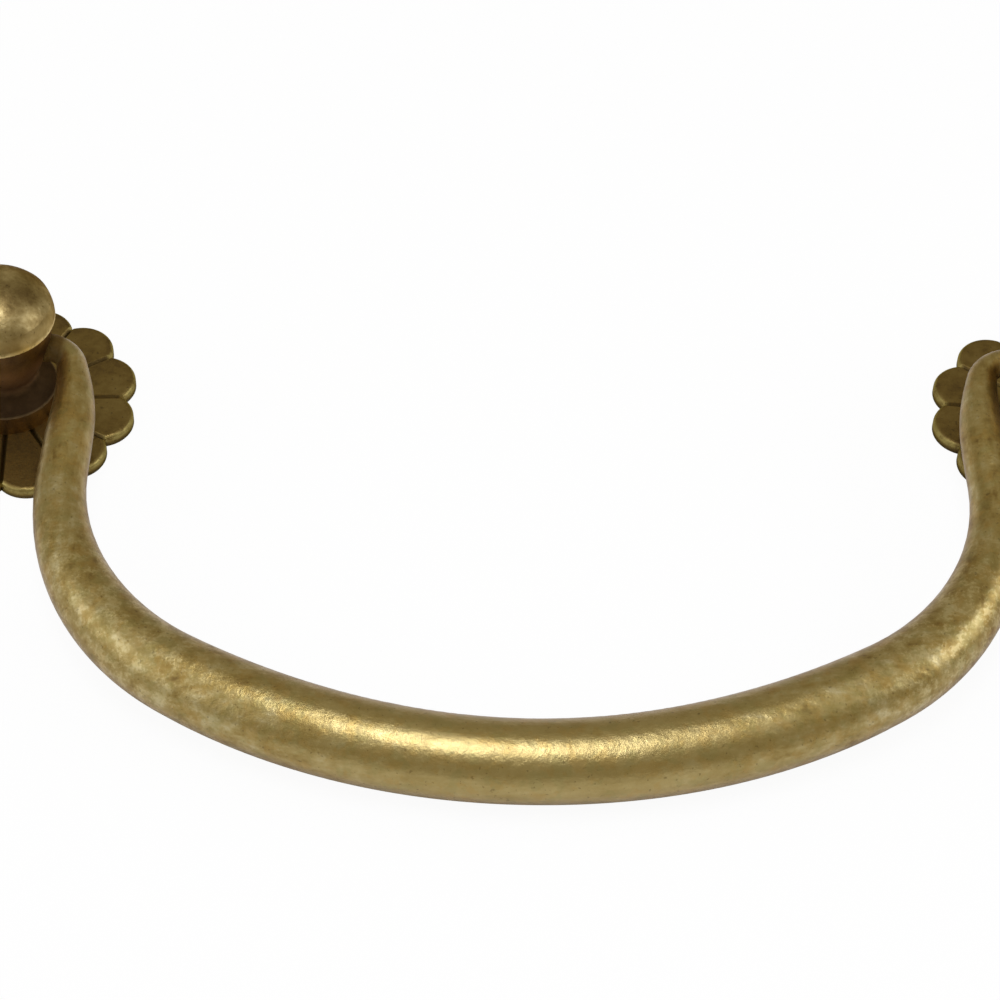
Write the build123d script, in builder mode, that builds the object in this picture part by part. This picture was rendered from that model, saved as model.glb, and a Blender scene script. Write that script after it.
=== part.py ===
"""Drop-bail cabinet handle: a curved bail swings between two turned posts, each on a petal rosette.

Millimetres. The origin is on the mounting face, midway between the post axes. +X runs along
the grip, +Z points out of the drawer front, and the bail lies towards -Y with its grip
resting on the mounting face.
"""

import os
from math import asin, cos, radians, sin, tan

from build123d import *

os.makedirs("parts", exist_ok=True)

# Setting out
post_spacing = 96.0  # between the two screw holes
pin_height = 7.7  # hinge line above the mounting face
bail_side_play = -0.9  # the loose bail lies this far towards the left post

# Bail: its centre line, from the middle of the grip out to one hinge pin
grip_arc_radius = 58.7
grip_arc_angle = 30.1
corner_radius = 22.1
arm_lean = 3.2  # the arms close in towards the pins by this angle
arm_straight = 5.2
neck_radius = 24.2
neck_splay = 12.5  # the neck opens outwards again by this angle
elbow_radius = 2.5
pin_length = 3.7

# Bail: bar diameters along that line
grip_diameter = 7.0
grip_full_share = 0.9  # share of the grip's arc that keeps the full diameter
mid_corner_diameter = 5.65
arm_top_diameter = 4.35
arm_end_diameter = 4.1
neck_diameter = 2.7
pin_diameter = 2.6
pin_chamfer = 0.3

# Rosette: a flat plate with a ring of round petals
rosette_thickness = 1.1
petal_count = 12
petal_ring_radius = 8.65
petal_radius = 3.0
petal_edge_radius = 0.45
groove_width = 0.55
groove_depth = 0.32
rosette_bore_radius = 3.0
rosette_turns = {"left": 2.1, "right": -6.5}

# Post: radii and heights of the turned outline
spigot_radius = 2.9
collar_radius = 4.6
collar_top = 3.15
collar_edge = 0.12
collar_shoulder = 0.25  # from the collar's side to the start of the cove
cove_radius = 1.4
stem_flare = 26.0  # angle off the axis at which the cove runs into the stem
rim_radius = 5.12
rim_height = 11.25
rim_lip = 0.2  # overhang of the rim past the stem
rim_edge_radius = 0.12
crest_radius = 4.8
crest_height = 13.1
dome_top = 15.6

# Holes in the posts
screw_core_diameter = 3.3  # tapping size of an M4 thread
screw_hole_depth = 5.5
screw_hole_chamfer = 0.3
pin_hole_clearance = 0.05  # radial
pin_hole_overrun = 0.2  # the blind end lies this far past the post's axis
pin_mouth_start = 3.75  # the hole widens from this distance off the post's axis
pin_mouth_flare = 20.0

post_axes = {"left": -post_spacing / 2, "right": post_spacing / 2}


def bail_centre_line():
    """Tangent arcs and a straight, from the middle of the grip to the root of one hinge pin."""
    grip = JernArc((0, 0), (1, 0), grip_arc_radius, grip_arc_angle)
    corner = JernArc(grip @ 1, grip % 1, corner_radius, 90 + arm_lean - grip_arc_angle)
    arm = PolarLine(corner @ 1, arm_straight, direction=corner % 1)
    neck = JernArc(arm @ 1, arm % 1, neck_radius, -(arm_lean + neck_splay))
    elbow = JernArc(neck @ 1, neck % 1, elbow_radius, -(90 - neck_splay))
    return grip, corner, arm, neck, elbow


def lying_plane():
    """Plane of the bail's centre line, tilted about the hinge until the grip touches the face."""
    with BuildLine():
        elbow = bail_centre_line()[-1]
    drop = (elbow @ 1).Y
    tilt = asin((pin_height - grip_diameter / 2) / drop)
    return Plane(
        origin=(bail_side_play, -drop * cos(tilt), grip_diameter / 2),
        x_dir=(1, 0, 0),
        z_dir=(0, -sin(tilt), cos(tilt)),
    )


def make_bail():
    """One round bar, full in the grip and tapering through swan necks to the hinge pins."""
    lie = lying_plane()
    with BuildPart() as bail:
        with BuildLine(lie) as centre_line:
            grip, corner, arm, neck, elbow = bail_centre_line()
            mirror(about=Plane.YZ.offset(bail_side_play))
        sections = [
            (grip, 0, grip_diameter),
            (grip, grip_full_share, grip_diameter),
            (corner, 0.5, mid_corner_diameter),
            (corner, 1, arm_top_diameter),
            (arm, 1, arm_end_diameter),
            (neck, 1, neck_diameter),
            (elbow, 1, pin_diameter),
        ]
        for line, share, diameter in reversed(sections):
            point, along = line @ share, line % share
            left_point = Vector(2 * bail_side_play - point.X, point.Y, point.Z)
            left_along = Vector(along.X, -along.Y, -along.Z)
            if left_point != point:
                with BuildSketch(Plane(left_point, x_dir=lie.z_dir, z_dir=left_along)):
                    Circle(diameter / 2)
        for line, share, diameter in sections:
            with BuildSketch(Plane(line @ share, x_dir=lie.z_dir, z_dir=line % share)):
                Circle(diameter / 2)
        sweep(path=centre_line.wires()[0], multisection=True)

        for outward in (-1, 1):
            half_span = (elbow @ 1).X - bail_side_play
            root = (bail_side_play + outward * half_span, 0, pin_height)
            with BuildSketch(Plane(root, x_dir=lie.z_dir, z_dir=(outward, 0, 0))):
                Circle(pin_diameter / 2)
            extrude(amount=pin_length)
            tip = bail.faces().sort_by(Axis.X)[-1 if outward > 0 else 0]
            chamfer(tip.edges(), pin_chamfer)
    bail.part.label = "bail"
    export_step(bail.part, "parts/bail.step")


def make_post(side, x_axis):
    """One post: spigot, collar, cove, flared stem and domed head, bored for its screw and pin."""
    inward = 1 if side == "left" else -1
    with BuildPart() as post:
        with BuildSketch(Plane((x_axis, 0, 0), x_dir=(1, 0, 0), z_dir=(0, -1, 0))):
            with BuildLine():
                foot = Polyline(
                    (0, 0),
                    (spigot_radius, 0),
                    (spigot_radius, rosette_thickness),
                    (collar_radius, rosette_thickness),
                    (collar_radius, collar_top - collar_edge),
                    (collar_radius - collar_edge, collar_top),
                    (collar_radius - collar_shoulder, collar_top),
                )
                cove = JernArc(foot @ 1, (-1, 0), cove_radius, -(90 + stem_flare))
                stem = TangentArc(cove @ 1, (rim_radius - rim_lip, rim_height), tangent=cove % 1)
                lip = Line(stem @ 1, (rim_radius - rim_edge_radius, rim_height))
                rim = JernArc(lip @ 1, (1, 0), rim_edge_radius, 90)
                band = TangentArc(rim @ 1, (crest_radius, crest_height), tangent=(0, 1))
                dome = TangentArc((0, dome_top), band @ 1, tangent=(1, 0))
                Line(dome @ 0, foot @ 0)
            make_face()
        revolve(axis=Axis((x_axis, 0, 0), (0, 0, 1)))

        with Locations(Plane((x_axis, 0, 0), z_dir=(0, 0, -1))):
            Hole(screw_core_diameter / 2, screw_hole_depth)
        mouth = post.edges().filter_by(GeomType.CIRCLE).group_by(Axis.Z)[0].sort_by(SortBy.RADIUS)[0]
        chamfer(mouth, screw_hole_chamfer)
        pin_hole_radius = pin_diameter / 2 + pin_hole_clearance
        with Locations(Plane((x_axis + inward * rim_radius, 0, pin_height), z_dir=(inward, 0, 0))):
            Hole(pin_hole_radius, rim_radius + pin_hole_overrun)
        mouth_length = rim_radius - pin_mouth_start
        mouth_radius = pin_hole_radius + mouth_length * tan(radians(pin_mouth_flare))
        with Locations(Plane((x_axis + inward * pin_mouth_start, 0, pin_height), z_dir=(inward, 0, 0))):
            Cone(
                pin_hole_radius,
                mouth_radius,
                mouth_length,
                align=(Align.CENTER, Align.CENTER, Align.MIN),
                mode=Mode.SUBTRACT,
            )
    post.part.label = f"post_{side}"
    export_step(post.part, f"parts/post_{side}.step")


def groove_cutter():
    """A V-shaped bar along +X, point down, that parts two petals."""
    with BuildPart() as cutter:
        with BuildSketch(Plane.YZ.offset(collar_radius)):
            with BuildLine():
                Polyline(
                    (-groove_width / 2, rosette_thickness),
                    (0, rosette_thickness - groove_depth),
                    (groove_width / 2, rosette_thickness),
                    close=True,
                )
            make_face()
        extrude(amount=petal_ring_radius)
    return cutter.part


def make_rosette(side, x_axis):
    """One rosette: round-edged petals parted by grooves, bored for the post's spigot."""
    groove = groove_cutter()
    centre = Plane((x_axis, 0, 0))
    turn = rosette_turns[side]
    with BuildPart() as rosette:
        with BuildSketch(centre):
            Circle(petal_ring_radius)
            first_petal = turn + 180 / petal_count
            with PolarLocations(petal_ring_radius, petal_count, start_angle=first_petal):
                Circle(petal_radius)
            Circle(rosette_bore_radius, mode=Mode.SUBTRACT)
        extrude(amount=rosette_thickness)
        top = rosette.faces().sort_by(Axis.Z)[-1]
        fillet(top.outer_wire().edges(), petal_edge_radius)
        with Locations(centre):
            with PolarLocations(0, petal_count, start_angle=turn):
                add(groove, mode=Mode.SUBTRACT)
    rosette.part.label = f"rosette_{side}"
    export_step(rosette.part, f"parts/rosette_{side}.step")


make_bail()
for side, x_axis in post_axes.items():
    make_post(side, x_axis)
    make_rosette(side, x_axis)
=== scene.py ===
import math

import bpy
from mathutils import Matrix, Vector

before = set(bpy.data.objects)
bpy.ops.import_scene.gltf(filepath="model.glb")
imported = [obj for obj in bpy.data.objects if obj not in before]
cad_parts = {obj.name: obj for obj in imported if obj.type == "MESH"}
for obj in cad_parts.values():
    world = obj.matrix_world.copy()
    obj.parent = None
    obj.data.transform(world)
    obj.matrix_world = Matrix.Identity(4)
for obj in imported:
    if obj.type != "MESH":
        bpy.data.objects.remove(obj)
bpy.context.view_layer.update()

MM = 0.001
HALF_POST_SPACING = 0.048

# Noise scales that the materials share, per metre
CLOUDS, FINE, GRAIN, SPECKS = 260.0, 1100.0, 3600.0, 3000.0
STREAK_SCALE, STREAK_PULL = 1400.0, 0.22

# Pairs of places, in metres, between which a finish fades in: none at the first, all at the second.
# Bail: along X from its middle, along Y from its hinge, and off the nearer post's axis
ARM_X = (0.030, 0.042)
GRIP_MIDDLE_X = (0.028, 0.008)
BEND_X = (0.024, 0.032)
BEND_Y = (-0.018, -0.027)
CROOK_RADIUS = (0.0063, 0.0054)
CROOK_Y = (-0.0034, -0.0018)
# Posts: by height above the mounting face, and off their own axis
SHANK_ABOVE = (0.0038, 0.0056)
WAIST_ABOVE, WAIST_BELOW = (0.0040, 0.0056), (0.0096, 0.0074)
HEAD_ABOVE = (0.01115, 0.01130)
BAND_HIGHLIGHT_BELOW = (0.0136, 0.0122)
WALL_BELOW = (0.00315, 0.0029)
COLLAR_EDGE_ABOVE, COLLAR_EDGE_BELOW = (0.00293, 0.00303), (0.00322, 0.00314)
COLLAR_EDGE_RADIUS = (0.0044, 0.00449)
RIM_EDGE_ABOVE, RIM_EDGE_BELOW = (0.01122, 0.01130), (0.0119, 0.0114)
HOLLOW_ABOVE, HOLLOW_BELOW = (0.0029, 0.0031), (0.0056, 0.0042)
# Rosettes: the same
PETAL_EDGE_RADIUS, PETAL_EDGE_ABOVE = (0.0098, 0.0103), (0.0004, 0.0007)
GROOVE_RADIUS, GROOVE_BELOW = (0.0103, 0.0098), (0.00108, 0.0010)
FOOT_SHADE_BELOW = (0.0005, 0.0002)


def node(tree, kind, settings=None, **inputs):
    """A new node; an input that is a socket is linked, and any other value is set on it."""
    made = tree.nodes.new(kind)
    for name, value in (settings or {}).items():
        setattr(made, name, value)
    for name, value in inputs.items():
        socket = made.inputs[name.replace("_", " ")]
        if isinstance(value, bpy.types.NodeSocket):
            tree.links.new(value, socket)
        else:
            socket.default_value = value
    return made


def ramp(tree, value, stops):
    """A colour ramp through (place, grey or colour) stops."""
    made = tree.nodes.new("ShaderNodeValToRGB")
    elements = made.color_ramp.elements
    while len(elements) < len(stops):
        elements.new(1.0)
    for element, (place, colour) in zip(elements, stops):
        element.position = place
        element.color = (*colour, 1) if isinstance(colour, tuple) else (colour, colour, colour, 1)
    tree.links.new(value, made.inputs[0])
    return made.outputs[0]


def mix(tree, factor, first, second):
    """One colour or grey mixed over another."""
    made = tree.nodes.new("ShaderNodeMix")
    made.data_type = "RGBA"
    for index, value in ((0, factor), (6, first), (7, second)):
        socket = made.inputs[index]
        if isinstance(value, bpy.types.NodeSocket):
            tree.links.new(value, socket)
        elif isinstance(value, tuple):
            socket.default_value = (*value, 1)
        elif index == 0:
            socket.default_value = value
        else:
            socket.default_value = (value, value, value, 1)
    return made.outputs[2]


def maths(tree, operation, *values):
    """One Math node on sockets or numbers."""
    made = tree.nodes.new("ShaderNodeMath")
    made.operation = operation
    for socket, value in zip(made.inputs, values):
        if isinstance(value, bpy.types.NodeSocket):
            tree.links.new(value, socket)
        else:
            socket.default_value = value
    return made.outputs[0]


def times(tree, first, second):
    return maths(tree, "MULTIPLY", first, second)


def band(tree, value, low, high):
    """0 below low and 1 above high, or the other way round where low is the larger."""
    made = tree.nodes.new("ShaderNodeMapRange")
    made.interpolation_type = "SMOOTHSTEP"
    tree.links.new(value, made.inputs["Value"])
    made.inputs["From Min"].default_value = low
    made.inputs["From Max"].default_value = high
    return made.outputs[0]


def noise(tree, place, scale, detail=4.0, roughness=0.6):
    return node(
        tree, "ShaderNodeTexNoise", Vector=place, Scale=scale, Detail=detail, Roughness=roughness
    ).outputs[0]


def stretched(tree, place, factors):
    """Place multiplied by a factor on each axis, so that a pattern runs along the least."""
    return node(
        tree, "ShaderNodeMapping", {"vector_type": "POINT"}, Vector=place, Scale=factors
    ).outputs[0]


def off_post_axis(tree, axes):
    """Distance from the axis of the nearer post."""
    along = maths(tree, "SUBTRACT", maths(tree, "ABSOLUTE", axes.outputs[0]), HALF_POST_SPACING)
    squares = times(tree, along, along)
    squares = maths(tree, "ADD", squares, times(tree, axes.outputs[1], axes.outputs[1]))
    return maths(tree, "SQRT", squares)


def specked(tree, place, colour, share, dark):
    """The colour with fine dark specks over it, at a share of their full strength."""
    specks = band(tree, noise(tree, place, SPECKS, 2.0, 0.4), 0.66, 0.74)
    return mix(tree, times(tree, specks, share), colour, dark)


def new_material(name):
    material = bpy.data.materials.new(name)
    material.use_nodes = True
    material.node_tree.nodes.clear()
    return material, material.node_tree


def metal(tree, colour, rough, height, depth, coat, graze, even=None):
    """A metal surface with a thin clear coat, tinted where it is seen at a low angle."""
    bump = node(tree, "ShaderNodeBump", Height=height, Strength=1.0, Distance=depth)
    if even:  # normals averaged over this distance hide the seam along a swept bar
        normals = node(tree, "ShaderNodeBevel", {"samples": 6}, Radius=even)
        tree.links.new(normals.outputs[0], bump.inputs["Normal"])
    shader = node(
        tree,
        "ShaderNodeBsdfPrincipled",
        Base_Color=colour,
        Roughness=rough,
        Normal=bump.outputs[0],
        Metallic=1.0,
        Specular_Tint=(*graze, 1),
        Coat_Weight=coat,
        Coat_Roughness=0.30,
        Coat_IOR=1.8,
    )
    node(tree, "ShaderNodeOutputMaterial", Surface=shader.outputs[0])


def bail_brass():
    """Rubbed brass: streaks along the bar, cloudy patina, a fine rippled skin, bright bends and
    painted shade at the pin roots.
    """
    material, tree = new_material("aged_brass_bail")
    place = node(tree, "ShaderNodeTexCoord").outputs["Object"]
    axes = node(tree, "ShaderNodeSeparateXYZ", Vector=place)
    across = maths(tree, "ABSOLUTE", axes.outputs[0])

    # One tone, dark to light, that the colour and the roughness follow
    on_arm = band(tree, across, *ARM_X)
    grip_streaks = noise(tree, stretched(tree, place, (STREAK_PULL, 1, 1)), STREAK_SCALE)
    arm_streaks = noise(tree, stretched(tree, place, (1, STREAK_PULL, 1)), STREAK_SCALE)
    streaks = mix(tree, on_arm, grip_streaks, arm_streaks)
    clouds = noise(tree, place, CLOUDS, 5.0, 0.62)
    ripples = noise(tree, place, FINE, 3.0, 0.5)
    grain = noise(tree, place, GRAIN, 3.0)
    blotches = noise(tree, place, 820.0, 2.0, 0.5)
    tone = mix(tree, 0.50, clouds, streaks)
    tone = mix(tree, 0.30, tone, blotches)
    tone = mix(tree, 0.12, tone, grain)
    held = band(tree, across, *GRIP_MIDDLE_X)
    tone = mix(tree, times(tree, held, 0.68), tone, 0.53)
    colour = ramp(
        tree,
        tone,
        [
            (0.38, (0.225, 0.142, 0.034)),
            (0.46, (0.375, 0.266, 0.079)),
            (0.54, (0.482, 0.370, 0.144)),
            (0.65, (0.640, 0.550, 0.31)),
        ],
    )
    greenish = band(tree, noise(tree, place, 620.0, 3.0), 0.50, 0.62)
    colour = mix(tree, times(tree, greenish, 0.28), colour, (0.31, 0.275, 0.090))
    ruddy = band(tree, noise(tree, place, 740.0, 3.0), 0.51, 0.63)
    colour = mix(tree, times(tree, ruddy, 0.28), colour, (0.46, 0.275, 0.058))

    # Rubbed flakes at the two bends
    bend = times(tree, band(tree, across, *BEND_X), band(tree, axes.outputs[1], *BEND_Y))
    flakes = band(tree, mix(tree, 0.50, blotches, grain), 0.50, 0.59)
    brightened = times(tree, bend, flakes)
    colour = mix(tree, times(tree, brightened, 0.30), colour, (0.78, 0.65, 0.32))

    # Painted shade, dark and dull, on the pin roots where the bail goes into the posts
    crook_shade = times(
        tree,
        band(tree, off_post_axis(tree, axes), *CROOK_RADIUS),
        band(tree, axes.outputs[1], *CROOK_Y),
    )
    colour = mix(tree, times(tree, crook_shade, 0.80), colour, (0.15, 0.085, 0.022))
    colour = specked(tree, place, colour, 0.45, (0.12, 0.075, 0.02))

    rough = ramp(tree, tone, [(0.38, 0.43), (0.62, 0.29)])
    rough = mix(tree, crook_shade, rough, 0.75)
    height = mix(tree, 0.25, ripples, grain)
    outside_crook = maths(tree, "SUBTRACT", 1.0, crook_shade)
    coat = times(tree, outside_crook, mix(tree, on_arm, 0.19, 0.15))
    graze = (0.84, 0.79, 0.88)
    metal(tree, colour, rough, height, 0.00008, coat=coat, graze=graze, even=0.0007)
    return material


def post_brass():
    """Golden mottled head with a painted highlight on its band, reddish-brown stem with painted
    shade under the rim, a dark dull cove of oxide and painted shade, and light worn edges painted
    bright as glints.
    """
    material, tree = new_material("aged_brass_post")
    place = node(tree, "ShaderNodeTexCoord").outputs["Object"]
    axes = node(tree, "ShaderNodeSeparateXYZ", Vector=place)
    high = axes.outputs[2]
    clouds = noise(tree, place, CLOUDS, 5.0)
    fine = noise(tree, place, FINE, 5.0, 0.65)
    grain = noise(tree, place, GRAIN, 3.0)
    tone = mix(tree, 0.28, clouds, fine)
    # The height with a cloudy shift, so that the tones don't meet along level lines
    wander = maths(tree, "ADD", high, times(tree, maths(tree, "SUBTRACT", clouds, 0.5), 0.0015))

    head = ramp(
        tree,
        tone,
        [
            (0.36, (0.11, 0.068, 0.024)),
            (0.46, (0.22, 0.152, 0.054)),
            (0.55, (0.34, 0.250, 0.100)),
            (0.67, (0.58, 0.460, 0.22)),
        ],
    )
    shank = ramp(
        tree,
        tone,
        [(0.38, (0.13, 0.075, 0.035)), (0.52, (0.23, 0.14, 0.06)), (0.68, (0.36, 0.23, 0.09))],
    )
    # The cove and collar top: dark oxide, darkened further as painted shade under the head and the
    # bail
    cove_oxide_and_shade = ramp(tree, tone, [(0.38, (0.060, 0.034, 0.016)), (0.60, (0.110, 0.066, 0.030))])
    colour = mix(tree, band(tree, wander, *SHANK_ABOVE), cove_oxide_and_shade, shank)
    # The stem lightened at its waist; above that, just under the rim, it stays dark as painted
    # shade under the head
    waist = times(tree, band(tree, wander, *WAIST_ABOVE), band(tree, wander, *WAIST_BELOW))
    colour = mix(tree, times(tree, waist, 0.75), colour, (0.46, 0.275, 0.14))
    colour = mix(tree, band(tree, high, *HEAD_ABOVE), colour, head)
    # Painted highlight: the band of the head under the dome is lightened
    band_highlight = times(tree, band(tree, high, *HEAD_ABOVE), band(tree, wander, *BAND_HIGHLIGHT_BELOW))
    colour = mix(tree, times(tree, band_highlight, 0.40), colour, (0.56, 0.40, 0.15))
    wall = band(tree, high, *WALL_BELOW)
    colour = mix(tree, wall, colour, shank)

    # Worn lines on the collar's and the rim's edges, painted bright also as the glint their sharp
    # edges would catch
    collar_edge = times(
        tree, band(tree, high, *COLLAR_EDGE_ABOVE), band(tree, high, *COLLAR_EDGE_BELOW)
    )
    radius = off_post_axis(tree, axes)
    collar_edge = times(tree, collar_edge, band(tree, radius, *COLLAR_EDGE_RADIUS))
    rim_wear_and_glint = times(tree, band(tree, high, *RIM_EDGE_ABOVE), band(tree, high, *RIM_EDGE_BELOW))
    rim_wear_and_glint = times(tree, rim_wear_and_glint, band(tree, fine, 0.25, 0.5))
    brightened = maths(tree, "MAXIMUM", times(tree, collar_edge, 0.05), rim_wear_and_glint)
    colour = mix(tree, brightened, colour, (0.92, 0.74, 0.36))
    colour = specked(tree, place, colour, 0.5, (0.07, 0.045, 0.02))

    rough = ramp(tree, tone, [(0.38, 0.49), (0.62, 0.37)])
    hollow = times(tree, band(tree, high, *HOLLOW_BELOW), band(tree, high, *HOLLOW_ABOVE))
    rough = mix(tree, hollow, rough, 0.80)
    height = mix(tree, 0.35, fine, grain)
    metal(tree, colour, rough, height, 0.00006, coat=0.0, graze=(0.50, 0.41, 0.34))
    return material


def rosette_brass():
    """Dark olive-brown petals, with light worn edges, dark grooves and painted shade along the
    foot.
    """
    material, tree = new_material("aged_brass_rosette")
    coords = node(tree, "ShaderNodeTexCoord")
    place = coords.outputs["Object"]
    axes = node(tree, "ShaderNodeSeparateXYZ", Vector=place)
    high = axes.outputs[2]
    clouds = noise(tree, place, 240.0, 5.0)
    fine = noise(tree, place, FINE, 5.0, 0.65)
    grain = noise(tree, place, GRAIN, 3.0)
    tone = mix(tree, 0.4, clouds, fine)
    colour = ramp(
        tree,
        tone,
        [(0.38, (0.135, 0.085, 0.028)), (0.50, (0.21, 0.14, 0.042)), (0.66, (0.29, 0.205, 0.07))],
    )
    radius = off_post_axis(tree, axes)
    facing = node(tree, "ShaderNodeSeparateXYZ", Vector=coords.outputs["Normal"]).outputs[2]
    turned = band(tree, facing, 0.97, 0.75)  # 1 where the surface turns away from straight up
    edge = times(tree, turned, band(tree, radius, *PETAL_EDGE_RADIUS))
    edge = times(tree, edge, band(tree, high, *PETAL_EDGE_ABOVE))
    edge = times(tree, edge, band(tree, fine, 0.26, 0.60))
    colour = mix(tree, edge, colour, (0.37, 0.295, 0.10))
    groove = times(tree, turned, band(tree, radius, *GROOVE_RADIUS))
    groove = times(tree, groove, band(tree, high, *GROOVE_BELOW))
    colour = mix(tree, times(tree, groove, 0.5), colour, (0.04, 0.026, 0.012))
    # Painted shade along the plate's foot, where it meets the floor
    foot_shade = band(tree, high, *FOOT_SHADE_BELOW)
    colour = mix(tree, times(tree, foot_shade, 0.7), colour, (0.05, 0.035, 0.018))
    colour = specked(tree, place, colour, 0.5, (0.06, 0.04, 0.02))
    rough = ramp(tree, tone, [(0.40, 0.50), (0.62, 0.36)])
    height = mix(tree, 0.5, fine, grain)
    metal(tree, colour, rough, height, 0.00005, coat=0.0, graze=(0.70, 0.66, 0.45))
    return material


def dress(node_name, material):
    """Give a CAD node its material."""
    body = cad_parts[node_name]
    body.data.materials.clear()
    body.data.materials.append(material)
    for polygon in body.data.polygons:
        polygon.material_index = 0


dress("bail", bail_brass())
post, plate = post_brass(), rosette_brass()
for side in ("left", "right"):
    dress(f"post_{side}", post)
    dress(f"rosette_{side}", plate)


def blend_shaders(tree, factor, first, second):
    made = node(tree, "ShaderNodeMixShader")
    for socket, value in zip(made.inputs, (factor, first, second)):
        tree.links.new(value, socket)
    return made.outputs[0]


# Floor: matt and pale where light falls on it, and mostly plain white to the camera
FLOOR_SIZE = 6.0
FLOOR_DROP = 0.00005
half = FLOOR_SIZE / 2
floor_mesh = bpy.data.meshes.new("floor")
floor_mesh.from_pydata(
    [(x, y, -FLOOR_DROP) for x, y in ((-half, -half), (half, -half), (half, half), (-half, half))],
    [],
    [(0, 1, 2, 3)],
)
floor = bpy.data.objects.new("floor", floor_mesh)
bpy.context.scene.collection.objects.link(floor)
material, tree = new_material("pale_floor")
rays = node(tree, "ShaderNodeLightPath")
seen = times(tree, rays.outputs["Is Camera Ray"], 0.92)
shown = times(tree, rays.outputs["Is Glossy Ray"], 0.08)
share = maths(tree, "MAXIMUM", seen, shown)
paint = node(tree, "ShaderNodeBsdfDiffuse", Color=(0.86, 0.86, 0.865, 1)).outputs[0]
glow = node(tree, "ShaderNodeEmission", Color=(1, 1, 1, 1), Strength=1.02).outputs[0]
node(tree, "ShaderNodeOutputMaterial", Surface=blend_shaders(tree, share, paint, glow))
floor.data.materials.append(material)

# Room: dim and warm, white only to the camera
world = bpy.data.worlds.new("studio")
bpy.context.scene.world = world
world.use_nodes = True
tree = world.node_tree
tree.nodes.clear()
in_view = node(tree, "ShaderNodeLightPath").outputs["Is Camera Ray"]
room = node(tree, "ShaderNodeBackground", Color=(1.0, 0.925, 0.715, 1), Strength=0.375).outputs[0]
white = node(tree, "ShaderNodeBackground", Color=(1, 1, 1, 1), Strength=1.0).outputs[0]
node(tree, "ShaderNodeOutputWorld", Surface=blend_shaders(tree, in_view, room, white))

LIGHT_COLOUR = (0.935, 0.98, 1.13)


def lamp(name, place, target, size, power):
    """A rectangular area light that faces its target."""
    light = bpy.data.lights.new(name, "AREA")
    light.shape = "RECTANGLE"
    light.size, light.size_y = size
    light.energy = power
    light.color = LIGHT_COLOUR
    made = bpy.data.objects.new(name, light)
    bpy.context.scene.collection.objects.link(made)
    made.location = place
    made.rotation_euler = (Vector(target) - Vector(place)).to_track_quat("-Z", "Y").to_euler()


def around(azimuth, elevation, distance):
    """A place off the object's middle; azimuth 0 is straight in front and 90 to the right."""
    turn, rise = math.radians(azimuth), math.radians(elevation)
    return (
        distance * math.sin(turn) * math.cos(rise),
        -distance * math.cos(turn) * math.cos(rise),
        distance * math.sin(rise),
    )


# The wide softbox overhead is three in one, so that its rear and right edges fade
WIDE_HEIGHT = 0.407
WIDE_FRONT = -0.27
for name, left, right, rear, brightness in (
    ("wide_softbox_rear", -0.46, 0.17, 0.16, 0.22),
    ("wide_softbox_middle", -0.46, 0.065, 0.08, 0.27),
    ("wide_softbox_front", -0.40, 0.46, 0.01, 0.32),
):
    size = (right - left, rear - WIDE_FRONT)
    spot = ((left + right) / 2, (rear + WIDE_FRONT) / 2)
    power = brightness * math.pi * size[0] * size[1]
    lamp(name, (*spot, WIDE_HEIGHT), (*spot, 0), size, power)
lamp("centre_softbox", (-0.022, -0.095, 0.40), (-0.022, -0.095, 0), (0.10, 0.20), 0.44)
lamp("left_softbox", around(-72, 29, 0.45), (-0.03, -0.03, 0), (0.40, 0.28), 0.30)
lamp("right_softbox", around(87, 27, 0.45), (0, -0.03, 0), (0.26, 0.22), 0.35)

# Camera: the photograph's view, fitted to its outlines, in pixels, millimetres and degrees
PICTURE, FOCAL = 1000, 2776.9
DISTANCE, ELEVATION, AZIMUTH, ROLL = 247.89, 48.637, -2.080, 2.444
TARGET = (-3.280, -10.568, 0)
SENSOR = 36
elevation, azimuth, roll = (math.radians(angle) for angle in (ELEVATION, AZIMUTH, ROLL))
back = Vector(
    (
        math.sin(azimuth) * math.cos(elevation),
        -math.cos(azimuth) * math.cos(elevation),
        math.sin(elevation),
    )
)
level_right = Vector((math.cos(azimuth), math.sin(azimuth), 0))
level_up = level_right.cross(-back)
camera_right = math.cos(roll) * level_right + math.sin(roll) * level_up
camera_up = -math.sin(roll) * level_right + math.cos(roll) * level_up
camera_data = bpy.data.cameras.new("camera")
camera_data.sensor_width = SENSOR
camera_data.lens = FOCAL / PICTURE * SENSOR
camera_data.clip_start = 0.01
camera_data.clip_end = 20
camera = bpy.data.objects.new("camera", camera_data)
bpy.context.scene.collection.objects.link(camera)
where = (Vector(TARGET) + DISTANCE * back) * MM
turned = Matrix((camera_right, camera_up, back)).transposed().to_4x4()
camera.matrix_world = Matrix.Translation(where) @ turned
bpy.context.scene.camera = camera
bpy.context.scene.view_settings.view_transform = "Standard"
